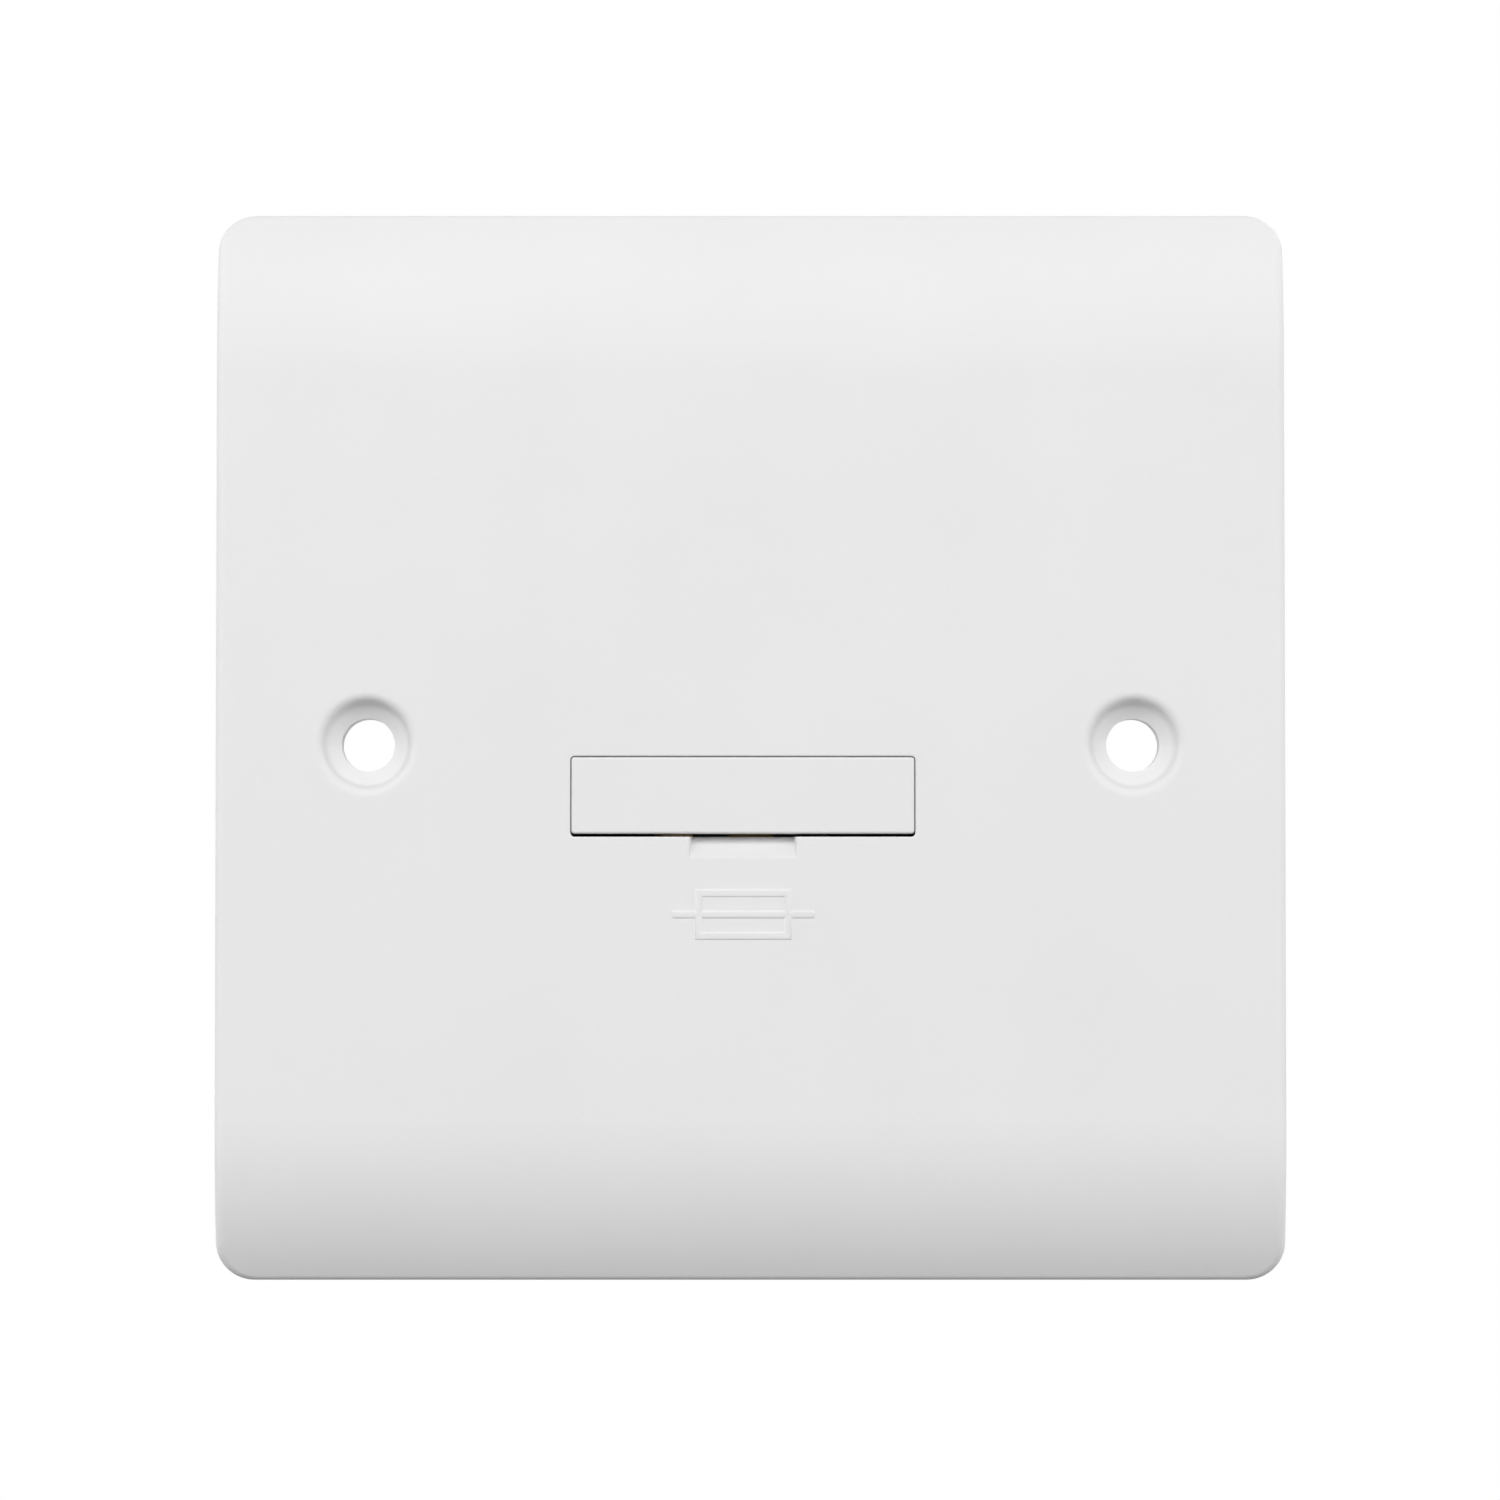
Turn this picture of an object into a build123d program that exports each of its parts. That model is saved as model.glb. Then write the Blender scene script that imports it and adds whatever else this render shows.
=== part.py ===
"""Fused connection unit for a single wall box.

A moulded front plate carries a rear housing with six pillar terminals. A drawer in the plate holds a
cartridge fuse between two spring clips and slides out towards the room.
"""

from build123d import *
from math import sqrt
import os

# Frame: X to the right as seen from the room, Y into the wall, Z up. The wall is the plane Y = 0 and
# the origin is the middle of the plate. All sizes are in millimetres.

# Front plate
PLATE_SIZE = 84.6  # side of the square at the wall
PLATE_DEPTH = 8.0  # wall to front face
PLATE_CORNER_R = 3.1
PLATE_LEAN = 1.8  # degrees by which the four sides lean in towards the front
FACE_WALL = 2.2
SKIRT_WALL = 2.2
CURVE_RUN = 12.5  # height of the curved band at the top and at the bottom
CURVE_DROP = 4.0  # how far that band falls back
FRONT_EDGE_R = 0.75
SKIRT_INNER_R = 1.0

# Fixing holes
FIXING_CENTRES = 60.3
FIXING_HOLE_R = 2.1
FIXING_DEPTH = 4.6  # face to the end of the boss
FIXING_BOSS_R = 5.0
SINK_R = 3.6  # rim of the dished seat
SINK_STEP_R = 3.2  # where its steep wall meets the conical seat
SINK_STEP_DEPTH = 1.3
SINK_SEAT_DEPTH = 2.0
SINK_STEP_ROUND = 0.7
SINK_LIP_R = 0.75
WEB_T = 1.4

# Cartridge fuse
FUSE_LENGTH = 25.4
FUSE_CAP_R = 3.1
FUSE_CAP_LENGTH = 6.0
FUSE_CAP_WALL = 0.35
FUSE_CAP_ROUND = 0.35
BARREL_BORE_R = 1.9
ELEMENT_R = 0.2

# Fuse drawer
DRAWER_X = -0.6  # middle of the drawer, from the middle of the plate
DRAWER_Z = -4.1
DRAWER_TRAVEL = 11.9
FASCIA_T = 2.0
FASCIA_EDGE_R = 0.2
FASCIA_CORNER_R = 0.25
SIDE_GAP = 0.07  # between the fascia and the opening
TOP_GAP = 0.07
BOTTOM_GAP = 0.25
FUSE_PASS = 0.06  # room above and below the fuse in the opening
CUP_END = 0.68
CUP_LENGTH = 2.0
CUP_BACK_T = 1.35
CUP_TOP = 1.2  # top of the cups above the fuse's axis
CUP_CLEAR = 0.05
FUSE_END_GAP = 0.1
ARM_T = 1.1
ARM_HALF_H = 2.45
HOOK_OUT = 0.8
HOOK_LENGTH = 1.4
HOOK_TIP = 0.5
HOOK_CLEAR = 0.3
STOP_CLEAR = 0.1
GROOVE_W = 0.8  # pry groove under the fascia
GROOVE_DEPTH = 0.5
GROOVE_INSET = 0.7

# Opening and pry notch in the plate
OPENING_CORNER_R = 0.32
OPENING_EDGE_R = 0.15
NOTCH_W = 8.0
NOTCH_FLARE = 0.2
NOTCH_RUN = 1.65
NOTCH_DEPTH = 1.6

# Fuse clips and their strips
SHEET_T = 0.7
CLIP_W = 4.0
CLIP_INSET = 1.7  # from the end of the fuse to the clip
CLIP_CLEAR = 0.1  # between a clip and its cap
CLIP_FLARE = 0.35
CLIP_SPREAD = 0.25
CLIP_REACH = 2.25  # from the fuse's axis to the clip's tips
CLIP_BEND_R = 0.6
CLIP_BACK_GAP = 0.35
STRIP_W = 2.8
STRIP_SLIT = 0.2
STRIP_PAD_W = 5.4
STRIP_GAP = 1.2  # from a strip to the terminals beside it

# Terminals
TERMINAL_PITCH = 18.2
TERMINAL_Z = 18.15
BLOCK_W = 8.0
BLOCK_L = 8.5
BLOCK_T = 8.0
BLOCK_EDGE = 0.3
WIRE_BORE_R = 1.9
WIRE_BORE_FLOOR = 1.1
SPIGOT_R = 1.2
SPIGOT_OFFSET = 2.6
SPIGOT_PROUD = 0.3
HOLE_CLEAR = 0.1

# Links
LINK_T = 0.8
LINK_PAD_W = 5.6
LINK_WAIST_W = 3.6
LINK_HOLE_R = 2.0

# Terminal screws
SCREW_R = 1.7
SCREW_CLEAR = 0.05
SCREW_TIP_GAP = 0.3
SCREW_TRAVEL = 3.2
SCREW_HEAD_R = 2.4
SCREW_HEAD_H = 1.6
SLOT_W = 0.9
SLOT_DEPTH = 0.9
EDGE_BREAK = 0.25

# Rear housing
HOUSING_WALL = 1.7
HOUSING_END_WALL = 2.0
HOUSING_BACK_WALL = 1.8
HOUSING_R = 2.0
HOUSING_EDGE_R = 1.0
CELL_CLEAR = 0.1
CHANNEL_CLEAR = 0.25
POCKET_CLEAR = 0.35
ARM_CLEAR = 0.6
CORE_WALL = 1.6
PANEL_INSET = 3.0  # shallow panel in the back, between the rows of terminals
PANEL_DEPTH = 0.5
SHROUD_WALL = 1.2
SHROUD_CLEAR = 0.4
SHROUD_PROUD = 0.5
WINDOW_CLEAR = 0.5
FUNNEL = 0.7

# Housing screws and the posts they bite into
POST_R = 2.6
POST_LENGTH = 4.8
POST_CLEAR = 0.15
TAPPER_R = 1.4
TAPPER_CLEAR = 0.2
TAPPER_BITE_CLEAR = 0.05
TAPPER_BITE = 3.8
TAPPER_HEAD_R = 2.6
TAPPER_HEAD_H = 1.8
TAPPER_SINK = 2.0
TAPPER_HEAD_CLEAR = 0.3
HOLD_R = 1.3  # posts that hold the metal parts down
HOLD_GAP = 0.1
FENCE_T = 1.2
FENCE_H = 1.6
FENCE_CLEAR = 0.15

# Depths that follow
FRONT = -PLATE_DEPTH
PLATE_BACK = FRONT + FACE_WALL
CURVE_R = (CURVE_RUN**2 + CURVE_DROP**2) / (2 * CURVE_DROP)
CURVE_START = PLATE_SIZE / 2 - CURVE_RUN
FASCIA_BACK = FRONT + FASCIA_T
FUSE_Y = FASCIA_BACK + FUSE_END_GAP + CUP_CLEAR + FUSE_CAP_R
CUP_R = FUSE_CAP_R + CUP_CLEAR
CUP_BACK = FUSE_Y + CUP_R + CUP_BACK_T
SHEET_FRONT = FUSE_Y + FUSE_CAP_R + CLIP_BACK_GAP
BLOCK_FRONT = SHEET_FRONT + SHEET_T
BLOCK_BACK = BLOCK_FRONT + BLOCK_T
WIRE_Y = BLOCK_FRONT + WIRE_BORE_FLOOR + WIRE_BORE_R
LINK_BACK = BLOCK_BACK + LINK_T
HOUSING_BACK = LINK_BACK + HOUSING_BACK_WALL
SCREW_TIP = WIRE_Y + WIRE_BORE_R + SCREW_TIP_GAP
HEAD_FRONT = LINK_BACK + SCREW_TRAVEL
HEAD_BACK = HEAD_FRONT + SCREW_HEAD_H
SHROUD_BACK = HEAD_BACK + SHROUD_PROUD
POST_BACK = PLATE_BACK + POST_LENGTH
HOOK_FRONT = PLATE_BACK + DRAWER_TRAVEL + STOP_CLEAR
ARM_BACK = HOOK_FRONT + HOOK_LENGTH

# Widths and heights that follow
FUSE_HALF = FUSE_LENGTH / 2
BARREL_R = FUSE_CAP_R - FUSE_CAP_WALL
FASCIA_HALF_W = FUSE_HALF + FUSE_END_GAP + CUP_END
OPENING_W = 2 * (FASCIA_HALF_W + SIDE_GAP)
OPENING_HALF_H = FUSE_CAP_R + FUSE_PASS
FASCIA_TOP = OPENING_HALF_H - TOP_GAP
FASCIA_LOW = BOTTOM_GAP - OPENING_HALF_H
CUP_START = FASCIA_HALF_W - CUP_LENGTH
CLIP_OUT = FUSE_HALF - CLIP_INSET
CLIP_IN = CLIP_OUT - CLIP_W
STRIP_OUT = CLIP_IN - STRIP_SLIT
STRIP_IN = STRIP_OUT - STRIP_W
JAW_HALF = FUSE_CAP_R + CLIP_CLEAR
POCKET_HALF_H = JAW_HALF + CLIP_FLARE + SHEET_T + POCKET_CLEAR
POCKET_HALF_W = FASCIA_HALF_W + HOOK_OUT + HOOK_CLEAR
ARM_CHANNEL_IN = CUP_START - HOOK_CLEAR / 2
ARM_CHANNEL_HALF_H = ARM_HALF_H + ARM_CLEAR
BLOCK_NEAR = TERMINAL_Z - BLOCK_L / 2
BLOCK_FAR = TERMINAL_Z + BLOCK_L / 2
STRIP_FAR = BLOCK_NEAR - STRIP_GAP
STRIP_NEAR = STRIP_FAR - STRIP_W
LINE_X = TERMINAL_PITCH
EARTH_X = 0.0
NEUTRAL_X = -TERMINAL_PITCH
POST_X = TERMINAL_PITCH / 2
HOUSING_HALF_W = TERMINAL_PITCH + BLOCK_W / 2 + CELL_CLEAR + HOUSING_WALL
HOUSING_HALF_H = BLOCK_FAR + CELL_CLEAR + HOUSING_END_WALL
WELL_R = SCREW_HEAD_R + SHROUD_CLEAR
SHROUD_R = WELL_R + SHROUD_WALL
WINDOW_R = WIRE_BORE_R + WINDOW_CLEAR

TERMINALS = {"line": LINE_X, "earth": EARTH_X, "neutral": NEUTRAL_X}
AT_DRAWER = Pos(DRAWER_X, 0, DRAWER_Z)


def slab(outline, front, back):
    """An outline in X and Z made solid between two depths."""
    return extrude(Plane.XZ.offset(-back) * outline, back - front)


def rect(x_a, x_b, z_a, z_b):
    """A rectangle in X and Z from its limits."""
    return Pos((x_a + x_b) / 2, (z_a + z_b) / 2) * Rectangle(abs(x_b - x_a), abs(z_b - z_a))


def rod(radius, front, back, x=0.0, z=0.0):
    """A round bar along Y."""
    return slab(Pos(x, z) * Circle(radius), front, back)


def turned(*points):
    """A solid of revolution about Y from points of radius and depth."""
    return revolve(make_face(Polyline(*points, close=True)), Axis.Y)


def both_sides(shape):
    """A shape and its image across the middle plane X = 0."""
    return shape + mirror(shape, about=Plane.YZ)


def plate_form(face_inset, skirt_inset, corner_r):
    """The plate's outer form, or with insets the hollow behind it."""
    half = PLATE_SIZE / 2 - skirt_inset
    front = FRONT + face_inset
    edge = FRONT + CURVE_R - sqrt((CURVE_R - face_inset) ** 2 - (half - CURVE_START) ** 2)
    beyond = half + SKIRT_WALL
    bend = TangentArc((front, CURVE_START), (edge, half), tangent=(0, 1))
    rim = Polyline((edge, half), (edge, beyond), (0, beyond), (0, 0))
    upper = Line((front, 0), (front, CURVE_START)) + bend + rim
    side = make_face(upper + mirror(upper, about=Plane.XZ))
    arch = extrude(Plane.YZ * side, half, both=True)
    outline = RectangleRounded(2 * half, 2 * half, corner_r)
    return arch & extrude(Plane.XZ * outline, -front, taper=PLATE_LEAN)


def front_face(solid):
    """The flat face nearest the room."""
    return solid.faces().filter_by(Axis.Y).sort_by(Axis.Y)[0]


def fixing_hole():
    """The dished seat and through hole for one fixing screw."""
    step = (SINK_STEP_R, FRONT + SINK_STEP_DEPTH)
    outline = Polyline(
        (0, FRONT),
        (SINK_R, FRONT),
        step,
        (FIXING_HOLE_R, FRONT + SINK_SEAT_DEPTH),
        (FIXING_HOLE_R, FRONT + FIXING_DEPTH),
        (0, FRONT + FIXING_DEPTH),
        close=True,
    )
    profile = make_face(outline)
    profile = fillet(profile.vertices().sort_by_distance(step)[0], SINK_STEP_ROUND)
    return revolve(profile, Axis.Y)


def pry_notch():
    """A ramp from the face down into the opening, under the middle of the fascia."""
    low = -OPENING_HALF_H - NOTCH_RUN
    wide = rect(-NOTCH_W / 2 - NOTCH_FLARE, NOTCH_W / 2 + NOTCH_FLARE, low, 0)
    narrow = rect(-NOTCH_W / 2, NOTCH_W / 2, low, 0)
    sides = loft([Plane.XZ.offset(-FRONT) * wide, Plane.XZ.offset(-FRONT - NOTCH_DEPTH) * narrow])
    ramp_end = FRONT + NOTCH_DEPTH
    ramp = Polyline((FRONT, low), (ramp_end, -OPENING_HALF_H), (ramp_end, 0), (FRONT, 0), close=True)
    return AT_DRAWER * (sides & extrude(Plane.YZ * make_face(ramp), NOTCH_W, both=True))


def front_plate():
    outer = plate_form(0, 0, PLATE_CORNER_R)
    reach = PLATE_SIZE / 2 - PLATE_CORNER_R
    rim = [
        e
        for e in outer.edges()
        if e.center().Y < -FRONT_EDGE_R
        and max(abs(e.center().X), abs(e.center().Z)) > reach
        and abs(e.tangent_at(0.5).Y) < 0.9
    ]
    outer = fillet(rim, FRONT_EDGE_R)
    plate = outer - plate_form(FACE_WALL, SKIRT_WALL, SKIRT_INNER_R)

    opening = Pos(DRAWER_X, DRAWER_Z) * RectangleRounded(OPENING_W, 2 * OPENING_HALF_H, OPENING_CORNER_R)
    plate -= slab(opening, FRONT, PLATE_BACK) + pry_notch()
    plate = fillet(front_face(plate).inner_wires()[0].edges(), OPENING_EDGE_R)

    half = FIXING_CENTRES / 2
    boss_back = FRONT + FIXING_DEPTH
    web = rect(half, PLATE_SIZE / 2 - SKIRT_WALL / 2, -WEB_T / 2, WEB_T / 2)
    boss = rod(FIXING_BOSS_R, PLATE_BACK, boss_back, half) + slab(web, PLATE_BACK, boss_back)
    plate += both_sides(boss)
    plate -= both_sides(Pos(half, 0, 0) * fixing_hole())

    rims = [w.edges()[0] for w in front_face(plate).inner_wires() if len(w.edges()) == 1]
    plate = fillet(rims, SINK_LIP_R)

    inside = RectangleRounded(2 * HOUSING_HALF_W, 2 * HOUSING_HALF_H, HOUSING_R)
    fence = offset(inside, FENCE_CLEAR + FENCE_T) - offset(inside, FENCE_CLEAR)
    plate += slab(fence, PLATE_BACK, PLATE_BACK + FENCE_H)
    for x in (-POST_X, POST_X):
        for z in (-TERMINAL_Z, TERMINAL_Z):
            plate += rod(POST_R, PLATE_BACK, POST_BACK, x, z)
            plate -= rod(TAPPER_R + TAPPER_BITE_CLEAR, POST_BACK - TAPPER_BITE, POST_BACK, x, z)
    for z in (-TERMINAL_Z, TERMINAL_Z):
        for x in (EARTH_X, NEUTRAL_X):
            plate += rod(HOLD_R, PLATE_BACK, BLOCK_FRONT - HOLD_GAP, x, z)
        plate += rod(HOLD_R, PLATE_BACK, SHEET_FRONT - HOLD_GAP, LINE_X, z)
    strip_x = (STRIP_IN + STRIP_OUT) / 2
    for side in (1, -1):
        z = side * (STRIP_FAR + STRIP_NEAR) / 2
        plate += rod(HOLD_R, PLATE_BACK, SHEET_FRONT - HOLD_GAP, DRAWER_X + side * strip_x, z)
    return plate


def fuse_carrier():
    outline = rect(-FASCIA_HALF_W, FASCIA_HALF_W, FASCIA_LOW, FASCIA_TOP)
    outline = fillet(outline.vertices(), FASCIA_CORNER_R)
    fascia = slab(outline, FRONT, FASCIA_BACK)
    fascia = fillet(front_face(fascia).edges(), FASCIA_EDGE_R)
    groove_front = FRONT + GROOVE_INSET
    groove = rect(-NOTCH_W / 2, NOTCH_W / 2, FASCIA_LOW, FASCIA_LOW + GROOVE_DEPTH)
    fascia -= slab(groove, groove_front, groove_front + GROOVE_W)

    cup = slab(rect(CUP_START, FASCIA_HALF_W, FASCIA_LOW, CUP_TOP), FASCIA_BACK, CUP_BACK)
    bed = Pos(0, FUSE_Y, 0) * Rot(0, 90, 0) * Cylinder(CUP_R, 2 * (FUSE_HALF + FUSE_END_GAP))
    cup -= bed
    arm = rect(FASCIA_HALF_W - ARM_T, FASCIA_HALF_W, -ARM_HALF_H, ARM_HALF_H)
    side = cup + slab(arm, CUP_BACK - CUP_BACK_T / 2, ARM_BACK)
    hook = Polyline(
        (FASCIA_HALF_W, HOOK_FRONT),
        (FASCIA_HALF_W + HOOK_OUT, HOOK_FRONT),
        (FASCIA_HALF_W + HOOK_OUT, HOOK_FRONT + HOOK_TIP),
        (FASCIA_HALF_W, ARM_BACK),
        close=True,
    )
    side += extrude(make_face(hook), ARM_HALF_H, both=True)
    return AT_DRAWER * (fascia + both_sides(side))


def fuse_pieces():
    """The cartridge along X about its own middle: barrel, element and the two caps."""
    lay = Pos(0, FUSE_Y, 0) * Rot(0, 0, -90)
    end = FUSE_HALF - FUSE_CAP_WALL
    barrel = rod(BARREL_R, -end, end) - rod(BARREL_BORE_R, -end, end)
    element = rod(ELEMENT_R, -end, end)
    cap = rod(FUSE_CAP_R, FUSE_HALF - FUSE_CAP_LENGTH, FUSE_HALF)
    cap = fillet(cap.faces().sort_by(Axis.Y)[-1].edges(), FUSE_CAP_ROUND)
    cap -= rod(BARREL_R, FUSE_HALF - FUSE_CAP_LENGTH, end)
    right = AT_DRAWER * lay * cap
    left = AT_DRAWER * lay * mirror(cap, about=Plane.XZ)
    return AT_DRAWER * lay * barrel, AT_DRAWER * lay * element, left, right


def strip_outline(side):
    """The flat of a clip, its leg and its terminal pad: side +1 for the supply, -1 for the load."""
    foot = rect(
        DRAWER_X + side * STRIP_IN,
        DRAWER_X + side * CLIP_IN,
        DRAWER_Z - JAW_HALF + CLIP_BEND_R,
        DRAWER_Z + JAW_HALF - CLIP_BEND_R,
    )
    leg_x = DRAWER_X + side * STRIP_IN
    leg = rect(leg_x, DRAWER_X + side * STRIP_OUT, DRAWER_Z, side * STRIP_FAR)
    across = rect(leg_x, LINE_X + STRIP_PAD_W / 2, side * STRIP_NEAR, side * STRIP_FAR)
    pad_end = side * (BLOCK_FAR - STRIP_GAP)
    pad = rect(LINE_X - STRIP_PAD_W / 2, LINE_X + STRIP_PAD_W / 2, side * STRIP_NEAR, pad_end)
    return foot + leg + across + pad


def clip_line(grow):
    """The bent line of a clip's jaws, on the fuse's side or grown by the sheet's thickness."""
    tip = (FUSE_Y - CLIP_REACH, JAW_HALF + CLIP_FLARE + grow)
    grip = (FUSE_Y, JAW_HALF + grow)
    heel = (SHEET_FRONT + grow, JAW_HALF + CLIP_SPREAD + grow)
    lower = [(y, -z) for y, z in (heel, grip, tip)]
    return FilletPolyline(tip, grip, heel, *lower, radius=CLIP_BEND_R + grow)


def fuse_clip(side):
    """A spring clip and its strip, pressed from one sheet."""
    near = clip_line(0)
    far = clip_line(SHEET_T)
    jaws = make_face(near + far + Line(near @ 0, far @ 0) + Line(near @ 1, far @ 1))
    jaws = extrude(Plane.YZ.offset(side * CLIP_IN) * jaws, side * CLIP_W)
    spigot_z = side * (TERMINAL_Z - SPIGOT_OFFSET)
    flat = slab(strip_outline(side), SHEET_FRONT, BLOCK_FRONT)
    flat -= rod(SPIGOT_R + HOLE_CLEAR, SHEET_FRONT, BLOCK_FRONT, LINE_X, spigot_z)
    return AT_DRAWER * jaws + flat


def terminal(name):
    """A pillar terminal of the upper row: wire bore along Z, screw hole along Y."""
    x = TERMINALS[name]
    block = slab(rect(x - BLOCK_W / 2, x + BLOCK_W / 2, BLOCK_NEAR, BLOCK_FAR), BLOCK_FRONT, BLOCK_BACK)
    block = chamfer(block.edges().filter_by(Axis.Z), BLOCK_EDGE)
    if name == "line":
        block += rod(SPIGOT_R, SHEET_FRONT - SPIGOT_PROUD, BLOCK_FRONT, x, TERMINAL_Z - SPIGOT_OFFSET)
    block -= Pos(x, WIRE_Y, TERMINAL_Z) * Cylinder(WIRE_BORE_R, BLOCK_L)
    return block - rod(SCREW_R + SCREW_CLEAR, WIRE_Y, BLOCK_BACK, x, TERMINAL_Z)


def terminal_screw(name):
    """A slotted screw of the upper row, backed out so that the wire bore is clear."""
    head_edge = SCREW_HEAD_R - EDGE_BREAK
    screw = turned(
        (0, SCREW_TIP),
        (SCREW_R - EDGE_BREAK, SCREW_TIP),
        (SCREW_R, SCREW_TIP + EDGE_BREAK),
        (SCREW_R, HEAD_FRONT),
        (SCREW_HEAD_R, HEAD_FRONT),
        (SCREW_HEAD_R, HEAD_BACK - EDGE_BREAK),
        (head_edge, HEAD_BACK),
        (0, HEAD_BACK),
    )
    slot = rect(-SCREW_HEAD_R, SCREW_HEAD_R, -SLOT_W / 2, SLOT_W / 2)
    screw -= slab(slot, HEAD_BACK - SLOT_DEPTH, HEAD_BACK)
    return Pos(TERMINALS[name], 0, TERMINAL_Z) * screw


def link_outline(x):
    waist = rect(x - LINK_WAIST_W / 2, x + LINK_WAIST_W / 2, -BLOCK_NEAR, BLOCK_NEAR)
    upper = rect(x - LINK_PAD_W / 2, x + LINK_PAD_W / 2, BLOCK_NEAR, BLOCK_FAR)
    return waist + upper + mirror(upper, about=Plane.XZ)


def link(x):
    """A strap behind the supply and load blocks of one pole."""
    strap = slab(link_outline(x), BLOCK_BACK, LINK_BACK)
    for z in (-TERMINAL_Z, TERMINAL_Z):
        strap -= rod(LINK_HOLE_R, BLOCK_BACK, LINK_BACK, x, z)
    return strap


def cell(x, back):
    half = BLOCK_W / 2 + CELL_CLEAR
    return slab(rect(x - half, x + half, BLOCK_NEAR - CELL_CLEAR, BLOCK_FAR + CELL_CLEAR), PLATE_BACK, back)


def rear_housing():
    outline = RectangleRounded(2 * HOUSING_HALF_W, 2 * HOUSING_HALF_H, HOUSING_R)
    body = slab(outline, PLATE_BACK, HOUSING_BACK)
    body = fillet(body.faces().sort_by(Axis.Y)[-1].edges(), HOUSING_EDGE_R)

    panel_half_h = BLOCK_NEAR - CORE_WALL
    panel = RectangleRounded(2 * (HOUSING_HALF_W - PANEL_INSET), 2 * panel_half_h, HOUSING_R)
    body -= slab(panel, HOUSING_BACK - PANEL_DEPTH, HOUSING_BACK)

    pocket = rect(-POCKET_HALF_W, POCKET_HALF_W, -POCKET_HALF_H, POCKET_HALF_H)
    channel = rect(ARM_CHANNEL_IN, POCKET_HALF_W, -ARM_CHANNEL_HALF_H, ARM_CHANNEL_HALF_H)
    channels = both_sides(slab(channel, PLATE_BACK, ARM_BACK + ARM_CLEAR))
    body -= AT_DRAWER * (slab(pocket, PLATE_BACK, BLOCK_FRONT) + channels)
    for side in (1, -1):
        strip_room = offset(strip_outline(side), CHANNEL_CLEAR, kind=Kind.INTERSECTION)
        body -= slab(strip_room, PLATE_BACK, BLOCK_FRONT)
    for x in (EARTH_X, NEUTRAL_X):
        link_room = offset(link_outline(x), CELL_CLEAR, kind=Kind.INTERSECTION)
        body -= slab(link_room, PLATE_BACK, LINK_BACK)

    # Hollows that keep the walls even, beside the fuse pocket
    core_back = HOUSING_BACK - HOUSING_BACK_WALL
    core_top = STRIP_NEAR - CHANNEL_CLEAR - CORE_WALL
    right = DRAWER_X + POCKET_HALF_W + CORE_WALL
    body -= slab(rect(right, HOUSING_HALF_W - HOUSING_WALL, -core_top, core_top), PLATE_BACK, core_back)
    left_edge = NEUTRAL_X + LINK_WAIST_W / 2 + CELL_CLEAR + CORE_WALL
    right_edge = EARTH_X - LINK_WAIST_W / 2 - CELL_CLEAR - CORE_WALL
    low_edge = DRAWER_Z + POCKET_HALF_H + CORE_WALL
    high_edge = BLOCK_NEAR - CELL_CLEAR - CORE_WALL
    body -= slab(rect(left_edge, right_edge, low_edge, high_edge), PLATE_BACK, core_back)

    # Upper row, then its image for the lower row
    shroud = chamfer(rod(SHROUD_R, core_back, SHROUD_BACK).faces().sort_by(Axis.Y)[-1].edges(), EDGE_BREAK)
    wall = HOUSING_END_WALL + CELL_CLEAR
    funnel = Cone(WINDOW_R, WINDOW_R + FUNNEL, FUNNEL)
    window = Cylinder(WINDOW_R, wall) + Pos(0, 0, (wall - FUNNEL) / 2) * funnel
    window_z = HOUSING_HALF_H - wall / 2
    for x, back in ((LINE_X, BLOCK_BACK), (EARTH_X, LINK_BACK), (NEUTRAL_X, LINK_BACK)):
        stub = Pos(x, 0, TERMINAL_Z) * shroud
        cut = cell(x, back) + rod(WELL_R, BLOCK_BACK, SHROUD_BACK, x, TERMINAL_Z)
        cut += Pos(x, WIRE_Y, window_z) * window
        body = body + stub + mirror(stub, about=Plane.XY)
        body = body - cut - mirror(cut, about=Plane.XY)

    seat = HOUSING_BACK - TAPPER_SINK
    for x in (-POST_X, POST_X):
        for z in (-TERMINAL_Z, TERMINAL_Z):
            body -= rod(POST_R + POST_CLEAR, PLATE_BACK, POST_BACK, x, z)
            body -= rod(TAPPER_R + TAPPER_CLEAR, POST_BACK, seat, x, z)
            body -= rod(TAPPER_HEAD_R + TAPPER_HEAD_CLEAR, seat, HOUSING_BACK, x, z)
    return body


def housing_screws():
    seat = HOUSING_BACK - TAPPER_SINK
    crown = seat + TAPPER_HEAD_H
    tip = POST_BACK - TAPPER_BITE + TAPPER_R
    screw = turned(
        (0, tip - TAPPER_R / 2),
        (TAPPER_R, tip),
        (TAPPER_R, seat),
        (TAPPER_HEAD_R, seat),
        (TAPPER_HEAD_R, crown - TAPPER_HEAD_H / 2),
        (TAPPER_HEAD_R - TAPPER_HEAD_H / 2, crown),
        (0, crown),
    )
    slot = rect(-TAPPER_HEAD_R, TAPPER_HEAD_R, -SLOT_W / 2, SLOT_W / 2)
    screw -= slab(slot, crown - SLOT_DEPTH, crown)
    spots = [Pos(x, 0, z) for x in (-POST_X, POST_X) for z in (-TERMINAL_Z, TERMINAL_Z)]
    return Compound(children=[spot * screw for spot in spots])


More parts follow.
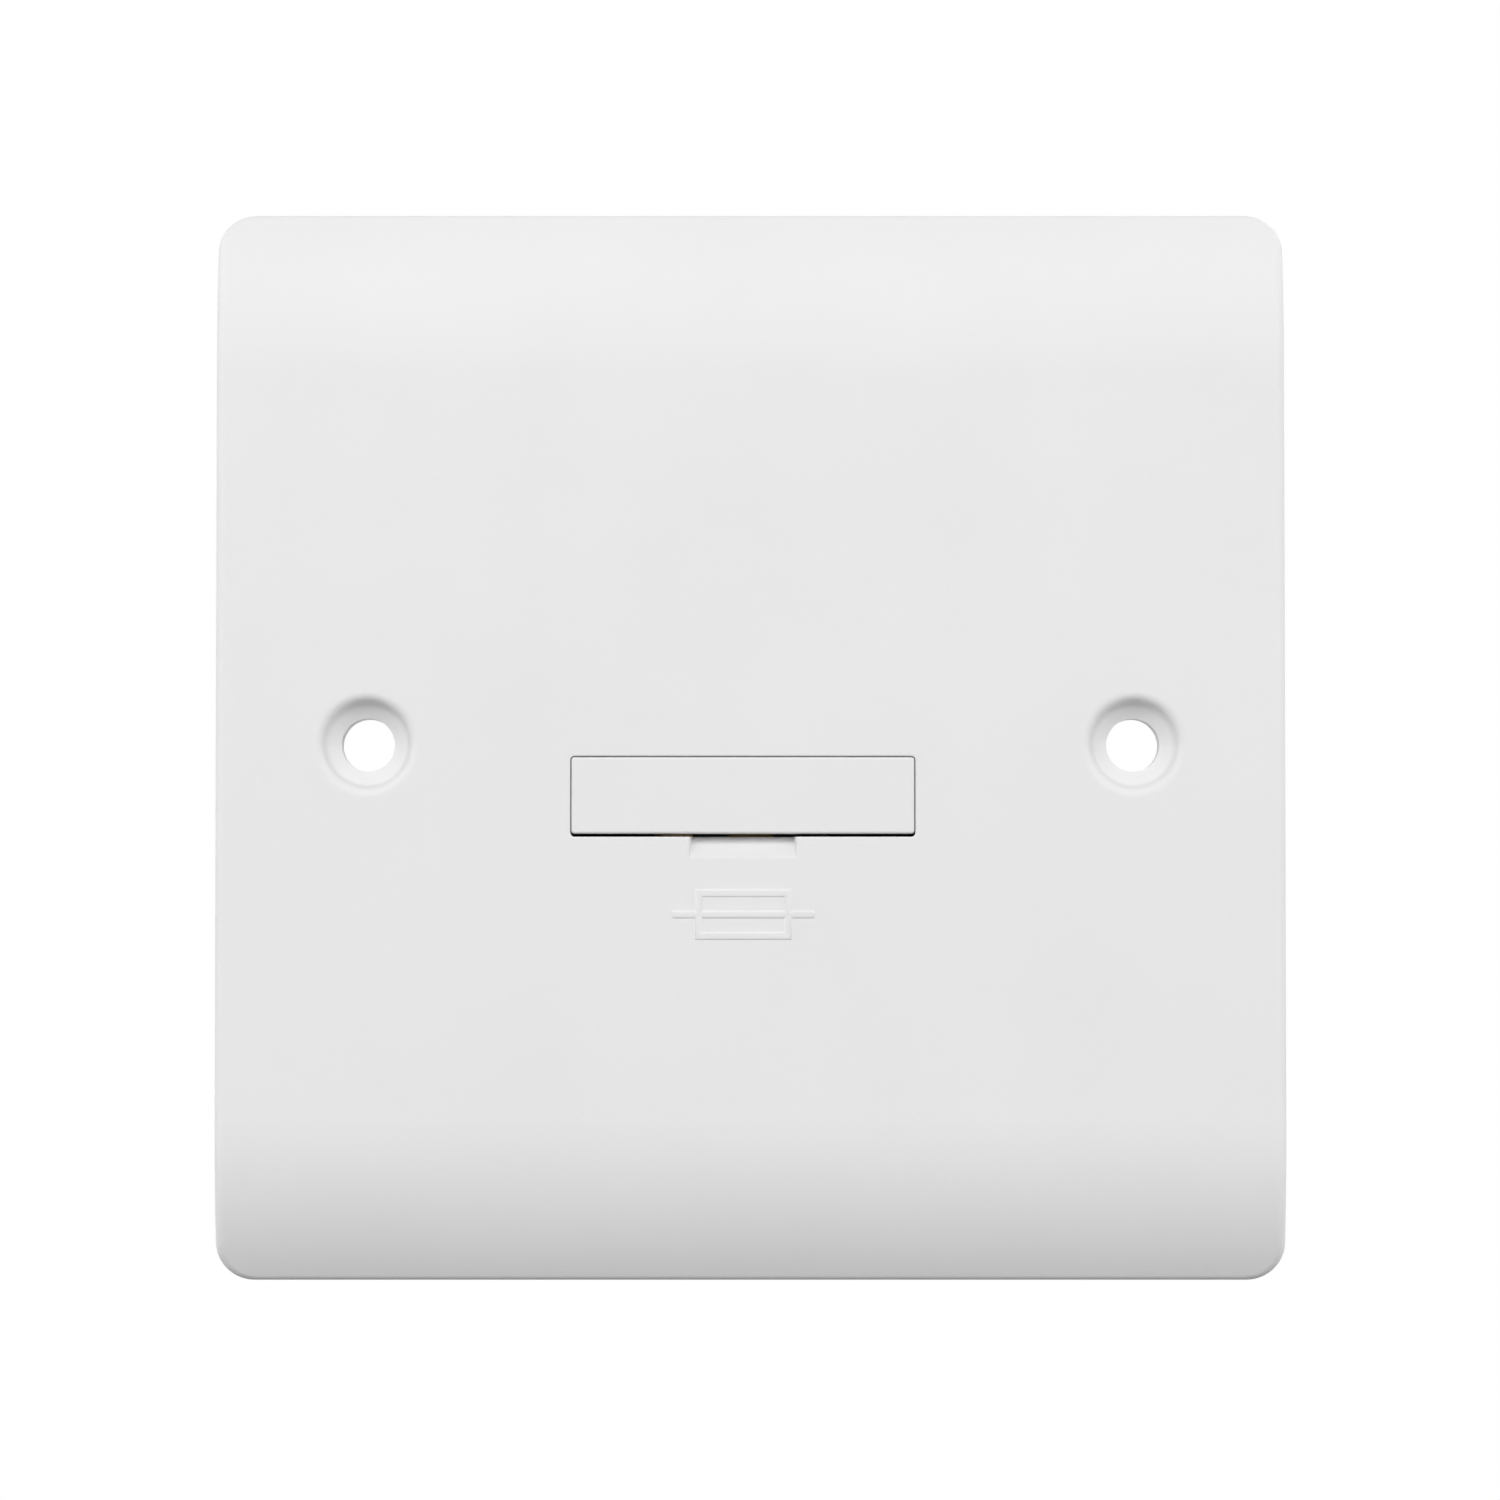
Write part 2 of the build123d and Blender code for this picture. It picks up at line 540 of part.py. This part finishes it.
nodes = {
    "front_plate": front_plate(),
    "rear_housing": rear_housing(),
    "housing_screws": housing_screws(),
    "fuse_carrier": fuse_carrier(),
    "supply_fuse_clip": fuse_clip(1),
    "load_fuse_clip": fuse_clip(-1),
    "earth_link": link(EARTH_X),
    "neutral_link": link(NEUTRAL_X),
}
fuse_names = ("fuse_barrel", "fuse_element", "fuse_cap_left", "fuse_cap_right")
nodes.update(zip(fuse_names, fuse_pieces()))
for pole in TERMINALS:
    upper_block = terminal(pole)
    upper_screw = terminal_screw(pole)
    nodes[f"supply_{pole}_terminal"] = upper_block
    nodes[f"supply_{pole}_screw"] = upper_screw
    nodes[f"load_{pole}_terminal"] = mirror(upper_block, about=Plane.XY)
    nodes[f"load_{pole}_screw"] = mirror(upper_screw, about=Plane.XY)

os.makedirs("parts", exist_ok=True)
for name, shape in nodes.items():
    export_step(shape, f"parts/{name}.step")
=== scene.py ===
"""Looks of a fused connection unit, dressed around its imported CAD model. Metres, in the CAD model's frame."""

from math import atan2, cos, hypot, pi, radians, sin

import bmesh
import bpy
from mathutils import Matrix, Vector


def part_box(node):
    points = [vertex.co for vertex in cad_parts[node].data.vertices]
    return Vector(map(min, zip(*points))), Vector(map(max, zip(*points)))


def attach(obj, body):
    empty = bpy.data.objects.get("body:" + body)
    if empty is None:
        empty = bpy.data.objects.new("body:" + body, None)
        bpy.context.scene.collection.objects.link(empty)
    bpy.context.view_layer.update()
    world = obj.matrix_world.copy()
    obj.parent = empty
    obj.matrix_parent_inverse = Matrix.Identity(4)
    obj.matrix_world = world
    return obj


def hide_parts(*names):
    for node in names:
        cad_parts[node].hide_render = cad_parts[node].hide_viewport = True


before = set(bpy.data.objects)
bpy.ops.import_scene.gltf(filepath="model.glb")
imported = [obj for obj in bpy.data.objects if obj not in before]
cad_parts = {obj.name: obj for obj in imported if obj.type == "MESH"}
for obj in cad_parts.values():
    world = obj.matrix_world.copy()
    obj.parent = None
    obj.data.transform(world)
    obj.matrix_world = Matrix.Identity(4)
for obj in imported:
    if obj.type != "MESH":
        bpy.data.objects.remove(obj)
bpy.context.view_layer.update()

MM = 0.001


def middle(node):
    """The middle of a CAD node's box."""
    low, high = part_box(node)
    return (low + high) / 2


# Places on the CAD model
FACE_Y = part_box("front_plate")[0].y
PANEL_Y = 11.5 * MM  # floor of the shallow panel in the housing's back
ROWS = {"supply": 1, "load": -1}  # the rows of terminals, above and below the middle
TERMINAL_X = {pole: middle(f"supply_{pole}_terminal").x for pole in ("line", "earth", "neutral")}
TERMINAL_Z = middle("supply_line_terminal").z
SCREW_PITCH = TERMINAL_X["line"] - TERMINAL_X["earth"]  # the housing screws stand halfway between

# Screws: radius of the shank and its ends along Y, then pitch and depth of the thread
CLAMP_SHANK = (1.7 * MM, 6.85 * MM, 13.4 * MM)
CLAMP_THREAD = (0.7 * MM, 0.25 * MM)
TAPPING_SHANK = (1.4 * MM, -3.4 * MM, 10.0 * MM)
TAPPING_THREAD = (1.1 * MM, 0.35 * MM)
THREAD_ROWS = 8  # in one turn
SCREW_CREASE = radians(30)  # edges from this angle on are sharp
SLOT_DEPTH = 0.9 * MM
SAME = 0.001 * MM  # places closer than this are one

# Fuse symbol on the face
SYMBOL_X = -0.57 * MM
SYMBOL_Z = -13.37 * MM
SYMBOL_BOX = Vector((7.0 * MM, 3.36 * MM))
SYMBOL_LINE = 10.9 * MM
SYMBOL_RIDGE = (0.66 * MM, 0.14 * MM)  # width and height of its lines

# Marks on the back
MARK_PROUD = 0.25 * MM
MARK_RIDGE = (0.48 * MM, MARK_PROUD)
MARK_Z = 9.3 * MM
MARK_SIZE = 4.2 * MM
WORD_Z = 4.4 * MM
WORD_SIZE = 3.2 * MM
EARTH_STEM = MARK_SIZE * 0.4
EARTH_BARS = ((1, 0), (0.62, 0.5), (0.25, 1))  # half width and drop of each bar, in stems

# Raised lines of the symbol and the earth marks
RIDGE_STEPS = 14  # across a line
RIDGE_POWER = 4  # the higher, the squarer the section
RIDGE_SINK = 0.02 * MM  # how far the foot stands in the face
RIDGE_CREASE = radians(50)  # edges from this angle on are sharp
END_REACH = 0.25  # how far a line runs on past its last point, in widths
BLUNT = 0.8  # share of a line's width that is left at its very end

# Finishes: sizes and depths of their grain
TINT_SPAN = (0.3, 0.7)  # the part of a noise's range in which a colour changes
CLOUD_SIZE = 14 * MM
FLOW_SIZE = 9 * MM
FLOW_DEPTH = 0.02 * MM
MOULD_GRAIN = 0.3 * MM
PLASTIC_IOR = 1.5
TARNISH_SIZE = 2.5 * MM
TOOL_MARK = 0.12 * MM
STEEL_COLOURS = ((0.56, 0.57, 0.58), (0.70, 0.70, 0.69))
STEEL_ROUGHNESS = (0.22, 0.42)
STEEL_STAIN = 1.5 * MM
STEEL_SKIN = 0.1 * MM
LATHE_STEP = 0.13 * MM
LATHE_DEPTH = 0.002 * MM
CERAMIC_COLOURS = ((0.62, 0.57, 0.47), (0.80, 0.76, 0.66))
CERAMIC_ROUGHNESS = (0.35, 0.55)
CERAMIC_FLECK = 0.35 * MM
CERAMIC_SKIN = 0.15 * MM
CERAMIC_DEPTH = 0.01 * MM

# Camera
CAMERA_DISTANCE = 0.475
CAMERA_ELEVATION = radians(-2.0)
CAMERA_AIM = Vector((-0.04 * MM, FACE_Y, -0.45 * MM))
FRAME_WIDTH = 117.83 * MM  # width of the picture at the face
SENSOR = 36.0

# Light: power in watts, distance and size in metres
KEY_POWER = 6.95
KEY_DISTANCE = 0.7
KEY_ELEVATION = radians(26)
KEY_SIDE = -0.02
KEY_SIZE = (1.6, 0.4)  # across and up
SIDE_POWER = 1.45
SIDE_PLACE = Vector((0.68, -0.12, 0.08))  # of the right one; the left one mirrors it
SIDE_SIZE = (0.4, 0.4)
BACK_POWER = 1.2
BACK_PLACE = Vector((0.35, 0.55, 0.45))
BACK_SIZE = (0.4, 0.4)
SKY_ABOVE = 0.10
SKY_BELOW = 0.04
SKY_BEHIND = 0.8  # the white sweep behind the object
SWEEP_EDGE = (-0.1, 0.4)  # where the sweep begins and is full, as a direction's Y
WHITE = (1, 1, 1, 1)

# Floor
FLOOR_Z = -0.15
FLOOR_R = 0.6
FLOOR_FADE = (FLOOR_R * 0.35, FLOOR_R * 0.95)  # where it begins to fade and is gone
FLOOR_TONES = ((0.20, 0.20, 0.20), (0.22, 0.22, 0.22))
FLOOR_GRAIN = 5 * MM
FLOOR_ROUGHNESS = 0.8
FLOOR_LIFT = 0.78  # how much paler the floor is seen than it lights the object

CORNERS = ((-1, -1), (1, -1), (1, 1), (-1, 1))


def add(name, data):
    """A new object in the scene."""
    made = bpy.data.objects.new(name, data)
    bpy.context.scene.collection.objects.link(made)
    return made


def material(name):
    """A node material, its tree, its shader and the model's own coordinates."""
    made = bpy.data.materials.new(name)
    made.use_nodes = True
    tree = made.node_tree
    place = tree.nodes.new("ShaderNodeTexCoord").outputs["Object"]
    return made, tree, tree.nodes["Principled BSDF"], place


def stretch(tree, place, scale):
    """Coordinates scaled along each axis."""
    node = tree.nodes.new("ShaderNodeMapping")
    node.inputs["Scale"].default_value = scale
    tree.links.new(place, node.inputs["Vector"])
    return node.outputs["Vector"]


def split(tree, vector):
    """A vector's X, Y and Z as sockets."""
    node = tree.nodes.new("ShaderNodeSeparateXYZ")
    tree.links.new(vector, node.inputs["Vector"])
    return node.outputs


def noise(tree, place, size, detail=2.0):
    """Noise with features of about the given size."""
    node = tree.nodes.new("ShaderNodeTexNoise")
    node.inputs["Scale"].default_value = 1 / size
    node.inputs["Detail"].default_value = detail
    tree.links.new(place, node.inputs["Vector"])
    return node.outputs["Fac"]


def calc(tree, operation, *values):
    """A sum on floats or on other nodes' values."""
    node = tree.nodes.new("ShaderNodeMath")
    node.operation = operation
    for socket, value in zip(node.inputs, values):
        if isinstance(value, float):
            socket.default_value = value
        else:
            tree.links.new(value, socket)
    return node.outputs["Value"]


def spread(tree, value, low, high):
    """A value from 0 to 1 mapped to a range."""
    node = tree.nodes.new("ShaderNodeMapRange")
    node.inputs["To Min"].default_value = low
    node.inputs["To Max"].default_value = high
    tree.links.new(value, node.inputs["Value"])
    return node.outputs["Result"]


def ease(tree, value, edge, low, high):
    """A value that goes smoothly from low to high while another one crosses an edge."""
    node = tree.nodes.new("ShaderNodeMapRange")
    node.interpolation_type = "SMOOTHSTEP"
    node.inputs["From Min"].default_value = edge[0]
    node.inputs["From Max"].default_value = edge[1]
    node.inputs["To Min"].default_value = low
    node.inputs["To Max"].default_value = high
    tree.links.new(value, node.inputs["Value"])
    return node.outputs["Result"]


def tint(tree, value, first, second):
    """A colour from first to second, over the middle of a noise's range."""
    node = tree.nodes.new("ShaderNodeValToRGB")
    for element, place, colour in zip(node.color_ramp.elements, TINT_SPAN, (first, second)):
        element.position = place
        element.color = (*colour, 1)
    tree.links.new(value, node.inputs["Fac"])
    return node.outputs["Color"]


def bump(tree, height, depth, under=None):
    """A normal that rises by depth where height is 1, on top of another one."""
    node = tree.nodes.new("ShaderNodeBump")
    node.inputs["Distance"].default_value = depth
    tree.links.new(height, node.inputs["Height"])
    if under:
        tree.links.new(under, node.inputs["Normal"])
    return node.outputs["Normal"]


def in_sight(tree):
    """1 for rays of the camera, straight, mirrored or let through, and 0 for those of the light."""
    path = tree.nodes.new("ShaderNodeLightPath").outputs
    seen = calc(tree, "MAXIMUM", path["Is Camera Ray"], path["Is Glossy Ray"])
    return calc(tree, "MAXIMUM", seen, path["Is Transmission Ray"])


def moulding(name, colours, roughness, depth):
    """A moulded plastic: faint clouds in its colour, slow waves and the fine grain of an eroded mould."""
    made, tree, shader, place = material(name)
    clouds = noise(tree, place, CLOUD_SIZE)
    tree.links.new(tint(tree, clouds, *colours), shader.inputs["Base Color"])
    skin = noise(tree, place, MOULD_GRAIN, detail=3.0)
    tree.links.new(spread(tree, skin, *roughness), shader.inputs["Roughness"])
    waves = noise(tree, place, FLOW_SIZE, detail=1.0)
    flow = bump(tree, waves, FLOW_DEPTH)
    tree.links.new(bump(tree, skin, depth, flow), shader.inputs["Normal"])
    shader.inputs["IOR"].default_value = PLASTIC_IOR
    return made


def metal(name, colours, roughness, lines, depth):
    """A worked metal: tarnish in its colour and fine marks, drawn out along the axis scaled down in lines."""
    made, tree, shader, place = material(name)
    shader.inputs["Metallic"].default_value = 1.0
    stain = noise(tree, place, TARNISH_SIZE, detail=4.0)
    tree.links.new(tint(tree, stain, *colours), shader.inputs["Base Color"])
    marks = noise(tree, stretch(tree, place, lines), TOOL_MARK, detail=3.0)
    tree.links.new(spread(tree, marks, *roughness), shader.inputs["Roughness"])
    tree.links.new(bump(tree, marks, depth), shader.inputs["Normal"])
    return made


def turned_steel(name, first_x, slot_floor):
    """Plated steel screws in rows, with the rings of a lathe on their heads but not in their slots."""
    made, tree, shader, place = material(name)
    shader.inputs["Metallic"].default_value = 1.0
    stain = noise(tree, place, STEEL_STAIN, detail=4.0)
    tree.links.new(tint(tree, stain, *STEEL_COLOURS), shader.inputs["Base Color"])
    axes = split(tree, place)
    shifted = calc(tree, "SUBTRACT", axes["X"], first_x)
    across = calc(tree, "WRAP", shifted, SCREW_PITCH / 2, -SCREW_PITCH / 2)
    along = calc(tree, "SUBTRACT", calc(tree, "ABSOLUTE", axes["Z"]), TERMINAL_Z)
    squares = [calc(tree, "MULTIPLY", reach, reach) for reach in (across, along)]
    radius = calc(tree, "SQRT", calc(tree, "ADD", *squares))
    rings = calc(tree, "SINE", calc(tree, "MULTIPLY", radius, 2 * pi / LATHE_STEP))
    on_face = calc(tree, "GREATER_THAN", axes["Y"], slot_floor + SAME)
    turning = calc(tree, "MULTIPLY", rings, on_face)
    skin = noise(tree, place, STEEL_SKIN, detail=3.0)
    tree.links.new(spread(tree, skin, *STEEL_ROUGHNESS), shader.inputs["Roughness"])
    tree.links.new(bump(tree, turning, LATHE_DEPTH), shader.inputs["Normal"])
    return made


def ceramic(name):
    """Cream steatite with fine flecks."""
    made, tree, shader, place = material(name)
    fleck = noise(tree, place, CERAMIC_FLECK, detail=4.0)
    tree.links.new(tint(tree, fleck, *CERAMIC_COLOURS), shader.inputs["Base Color"])
    skin = noise(tree, place, CERAMIC_SKIN)
    tree.links.new(spread(tree, skin, *CERAMIC_ROUGHNESS), shader.inputs["Roughness"])
    tree.links.new(bump(tree, skin, CERAMIC_DEPTH), shader.inputs["Normal"])
    return made


def ridge_rows(points, closed, width):
    """Rows along a line: a point, the mitred direction across it and how much of the height it has."""
    ends = [*points[1:], points[0]] if closed else points[1:]
    legs = [(end - start).normalized() for start, end in zip(points, ends)]
    lefts = [Vector((-leg.y, leg.x)) for leg in legs]
    rows = []
    for i, point in enumerate(points):
        before = lefts[i - 1] if closed or i > 0 else lefts[0]
        after = lefts[i] if i < len(lefts) else lefts[-1]
        rows.append((point, (before + after) / (1 + before.dot(after)), 1))
    if not closed:
        reach = width * END_REACH
        rows.insert(0, (points[0] - legs[0] * reach, lefts[0] * BLUNT, 0))
        rows.append((points[-1] + legs[-1] * reach, lefts[-1] * BLUNT, 0))
    return rows


def ridge(name, lines, level, facing, ridge_size, finish):
    """Low rounded ridges on a flat face.

    Each line is a list of X and Z points, and is closed where its ends meet.
    """
    width, proud = ridge_size
    section = RIDGE_STEPS + 1  # points in a row
    verts = []
    faces = []
    for line in lines:
        closed = line[0] == line[-1]
        points = [Vector(point) for point in (line[:-1] if closed else line)]
        first = len(verts)
        for point, side, rise in ridge_rows(points, closed, width):
            for step in range(section):
                across = 2 * step / RIDGE_STEPS - 1
                x, z = point + side * across * width / 2
                height = (rise * proud + RIDGE_SINK) * (1 - across**RIDGE_POWER) - RIDGE_SINK
                verts.append((x, level + facing * height, z))
        starts = range(first, len(verts), section)
        line_faces = []
        for here, there in zip(starts, [*starts[1:], first] if closed else starts[1:]):
            for a in range(section):
                b = (a + 1) % section
                line_faces.append((here + a, there + a, there + b, here + b))
        if not closed:
            line_faces.append(range(first, first + section))
            line_faces.append(range(len(verts) - 1, len(verts) - section - 1, -1))
        faces += [face if facing < 0 else face[::-1] for face in line_faces]
    mesh = bpy.data.meshes.new(name)
    mesh.from_pydata(verts, [], faces)
    mesh.shade_smooth()
    mesh.set_sharp_from_angle(angle=RIDGE_CREASE)
    mesh.materials.append(finish)
    made = add(name, mesh)
    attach(made, "unit")


def thread_radius(y, angle, shank, thread):
    """Radius of a shank with a right-hand thread that fades out at both ends."""
    radius, start, end = shank
    pitch, depth = thread
    fade = min(1, (y - start) / pitch, (end - y) / pitch)
    turn = (y / pitch + angle / (2 * pi)) % 1
    return radius - fade * depth * abs(2 * turn - 1)


def threaded(name, node, body, spots, shank, thread, finish):
    """A copy of a screw node, at X and Z spots, with a thread cut into its shank."""
    radius, start, end = shank
    count = round((end - start) / thread[0] * THREAD_ROWS)
    form = bmesh.new()
    form.from_mesh(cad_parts[node].data)
    bmesh.ops.remove_doubles(form, verts=form.verts, dist=SAME)
    for x, z in spots:
        on_wall = {v for v in form.verts if abs(hypot(v.co.x - x, v.co.z - z) - radius) < SAME}
        angles = sorted(atan2(v.co.z - z, v.co.x - x) for v in on_wall if abs(v.co.y - start) < SAME)
        wall = [face for face in form.faces if on_wall.issuperset(face.verts)]
        bmesh.ops.delete(form, geom=wall, context="FACES")
        rows = []
        for row in range(count + 1):
            y = start + (end - start) * row / count
            ring = []
            for angle in angles:
                r = thread_radius(y, angle, shank, thread)
                ring.append(form.verts.new((x + r * cos(angle), y, z + r * sin(angle))))
            rows.append(ring)
        for here, there in zip(rows, rows[1:]):
            for a in range(len(angles)):
                form.faces.new((here[a - 1], there[a - 1], there[a], here[a]))
    bmesh.ops.remove_doubles(form, verts=form.verts, dist=SAME)
    mesh = bpy.data.meshes.new(name)
    form.to_mesh(mesh)
    form.free()
    cad_normals = mesh.attributes.get("custom_normal")
    if cad_normals:
        mesh.attributes.remove(cad_normals)
    mesh.shade_smooth()
    mesh.set_sharp_from_angle(angle=SCREW_CREASE)
    mesh.materials.append(finish)
    made = add(name, mesh)
    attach(made, body)
    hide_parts(node)


def back_mark(name, words, x, z, size, finish):
    """Raised lettering on the panel in the back, to be read from behind."""
    text = bpy.data.curves.new(name, "FONT")
    text.body = words
    text.size = size
    text.align_x = "CENTER"
    text.align_y = "CENTER"
    text.extrude = MARK_PROUD
    text.materials.append(finish)
    made = add(name, text)
    made.location = (x, PANEL_Y, z)
    made.rotation_euler = (pi / 2, 0, pi)
    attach(made, "unit")


def area_light(name, place, size, power):
    """A soft lamp aimed at the frame's origin."""
    lamp = bpy.data.lights.new(name, "AREA")
    lamp.shape = "RECTANGLE"
    lamp.size, lamp.size_y = size
    lamp.energy = power
    made = add(name, lamp)
    made.location = place
    made.rotation_euler = (-place).to_track_quat("-Z", "Y").to_euler()


# Finishes
white = moulding(
    "white_moulding",
    colours=((0.795, 0.79, 0.79), (0.81, 0.805, 0.805)),
    roughness=(0.66, 0.78),
    depth=0.011 * MM,
)
housing = moulding(
    "housing_moulding",
    colours=((0.66, 0.65, 0.62), (0.70, 0.69, 0.66)),
    roughness=(0.42, 0.58),
    depth=0.008 * MM,
)
brass = metal(
    "brass",
    colours=((0.66, 0.44, 0.17), (0.80, 0.58, 0.27)),
    roughness=(0.24, 0.38),
    lines=(1, 1, 0.04),
    depth=0.002 * MM,
)
bronze = metal(
    "spring_bronze",
    colours=((0.50, 0.32, 0.18), (0.62, 0.42, 0.25)),
    roughness=(0.24, 0.32),
    lines=(1, 1, 0.03),
    depth=0.001 * MM,
)
nickel = metal(
    "nickel",
    colours=((0.42, 0.42, 0.41), (0.52, 0.52, 0.51)),
    roughness=(0.16, 0.30),
    lines=(0.05, 1, 1),
    depth=0.003 * MM,
)
wire = metal(
    "fuse_wire",
    colours=((0.66, 0.66, 0.64), (0.80, 0.80, 0.78)),
    roughness=(0.20, 0.32),
    lines=(0.05, 1, 1),
    depth=0.002 * MM,
)
clamp_steel = turned_steel("clamp_steel", TERMINAL_X["earth"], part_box("supply_line_screw")[1].y - SLOT_DEPTH)
tapping_steel = turned_steel("tapping_steel", SCREW_PITCH / 2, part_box("housing_screws")[1].y - SLOT_DEPTH)
steatite = ceramic("ceramic")

finishes = {
    "front_plate": white,
    "fuse_carrier": white,
    "rear_housing": housing,
    "supply_fuse_clip": bronze,
    "load_fuse_clip": bronze,
    "earth_link": brass,
    "neutral_link": brass,
    "fuse_barrel": steatite,
    "fuse_element": wire,
    "fuse_cap_left": nickel,
    "fuse_cap_right": nickel,
}
for side in ROWS:
    for pole in TERMINAL_X:
        finishes[f"{side}_{pole}_terminal"] = brass
for node, finish in finishes.items():
    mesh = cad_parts[node].data
    mesh.materials.clear()
    mesh.materials.append(finish)

# Screws with their threads
for side, sign in ROWS.items():
    for pole, x in TERMINAL_X.items():
        threaded(
            f"{side}_{pole}_threaded_screw",
            f"{side}_{pole}_screw",
            f"{side}_{pole}_clamp",
            [(x, sign * TERMINAL_Z)],
            CLAMP_SHANK,
            CLAMP_THREAD,
            clamp_steel,
        )
threaded(
    "threaded_housing_screws",
    "housing_screws",
    "unit",
    [(a * SCREW_PITCH / 2, b * TERMINAL_Z) for a, b in CORNERS],
    TAPPING_SHANK,
    TAPPING_THREAD,
    tapping_steel,
)

# Fuse symbol: a box with a line through it
half_w, half_h = SYMBOL_BOX / 2
box_line = [(SYMBOL_X + a * half_w, SYMBOL_Z + b * half_h) for a, b in (*CORNERS, CORNERS[0])]
through = [(SYMBOL_X + a * SYMBOL_LINE / 2, SYMBOL_Z) for a in (-1, 1)]
ridge("fuse_symbol", [box_line, through], FACE_Y, -1, SYMBOL_RIDGE, white)

# Terminal marks on the back
for side, sign in ROWS.items():
    mark_z = sign * MARK_Z
    back_mark(f"{side}_line_mark", "L", TERMINAL_X["line"], mark_z, MARK_SIZE, housing)
    back_mark(f"{side}_neutral_mark", "N", TERMINAL_X["neutral"], mark_z, MARK_SIZE, housing)
    back_mark(f"{side}_word", side.upper(), 0.0, sign * WORD_Z, WORD_SIZE, housing)
    earth_lines = []
    for half_width, drop in EARTH_BARS:
        bar_z = mark_z - drop * EARTH_STEM
        earth_lines.append([(a * half_width * EARTH_STEM, bar_z) for a in (-1, 1)])
    earth_lines.append([(0.0, mark_z), (0.0, mark_z + EARTH_STEM)])
    ridge(f"{side}_earth_mark", earth_lines, PANEL_Y, 1, MARK_RIDGE, housing)

# Floor: pale, fading into the white around it, and seen from above only
floor_mesh = bpy.data.meshes.new("floor")
floor_mesh.from_pydata([(a * FLOOR_R, b * FLOOR_R, FLOOR_Z) for a, b in CORNERS], [], [(0, 1, 2, 3)])
floor = add("floor", floor_mesh)
floor_look, tree, shader, place = material("floor")
tree.links.new(tint(tree, noise(tree, place, FLOOR_GRAIN), *FLOOR_TONES), shader.inputs["Base Color"])
shader.inputs["Roughness"].default_value = FLOOR_ROUGHNESS
shader.inputs["Emission Color"].default_value = WHITE
tree.links.new(calc(tree, "MULTIPLY", in_sight(tree), FLOOR_LIFT), shader.inputs["Emission Strength"])
reach = tree.nodes.new("ShaderNodeVectorMath")
reach.operation = "DISTANCE"
reach.inputs[1].default_value = (0, 0, FLOOR_Z)
tree.links.new(place, reach.inputs[0])
kept = ease(tree, reach.outputs["Value"], FLOOR_FADE, 1.0, 0.0)
upper_side = calc(tree, "SUBTRACT", 1.0, tree.nodes.new("ShaderNodeNewGeometry").outputs["Backfacing"])
tree.links.new(calc(tree, "MULTIPLY", kept, upper_side), shader.inputs["Alpha"])
floor_mesh.materials.append(floor_look)

# World: white where it is seen, softer as a light
world = bpy.data.worlds.new("studio")
bpy.context.scene.world = world
world.use_nodes = True
tree = world.node_tree
sky = tree.nodes["Background"]
sky.inputs["Color"].default_value = WHITE
heading = split(tree, tree.nodes.new("ShaderNodeTexCoord").outputs["Generated"])
upward = calc(tree, "MULTIPLY_ADD", heading["Z"], 0.5, 0.5)  # from 0 straight down to 1 straight up
dome = spread(tree, upward, SKY_BELOW, SKY_ABOVE)
sweep = ease(tree, heading["Y"], SWEEP_EDGE, 0.0, SKY_BEHIND)
light = calc(tree, "MAXIMUM", dome, sweep)
tree.links.new(calc(tree, "MAXIMUM", light, in_sight(tree)), sky.inputs["Strength"])

# Lamps
key_place = KEY_DISTANCE * Vector((0, -cos(KEY_ELEVATION), sin(KEY_ELEVATION))) + Vector((KEY_SIDE, 0, 0))
area_light("key", key_place, KEY_SIZE, KEY_POWER)
area_light("left", SIDE_PLACE * Vector((-1, 1, 1)), SIDE_SIZE, SIDE_POWER)
area_light("right", SIDE_PLACE, SIDE_SIZE, SIDE_POWER)
area_light("back", BACK_PLACE, BACK_SIZE, BACK_POWER)

# Camera
lens = bpy.data.cameras.new("camera")
lens.sensor_width = SENSOR
lens.lens = SENSOR * CAMERA_DISTANCE / FRAME_WIDTH
camera = add("camera", lens)
camera.location = CAMERA_AIM + CAMERA_DISTANCE * Vector((0, -cos(CAMERA_ELEVATION), sin(CAMERA_ELEVATION)))
camera.rotation_euler = (pi / 2 - CAMERA_ELEVATION, 0, 0)
bpy.context.scene.camera = camera
bpy.context.scene.view_settings.view_transform = "Standard"
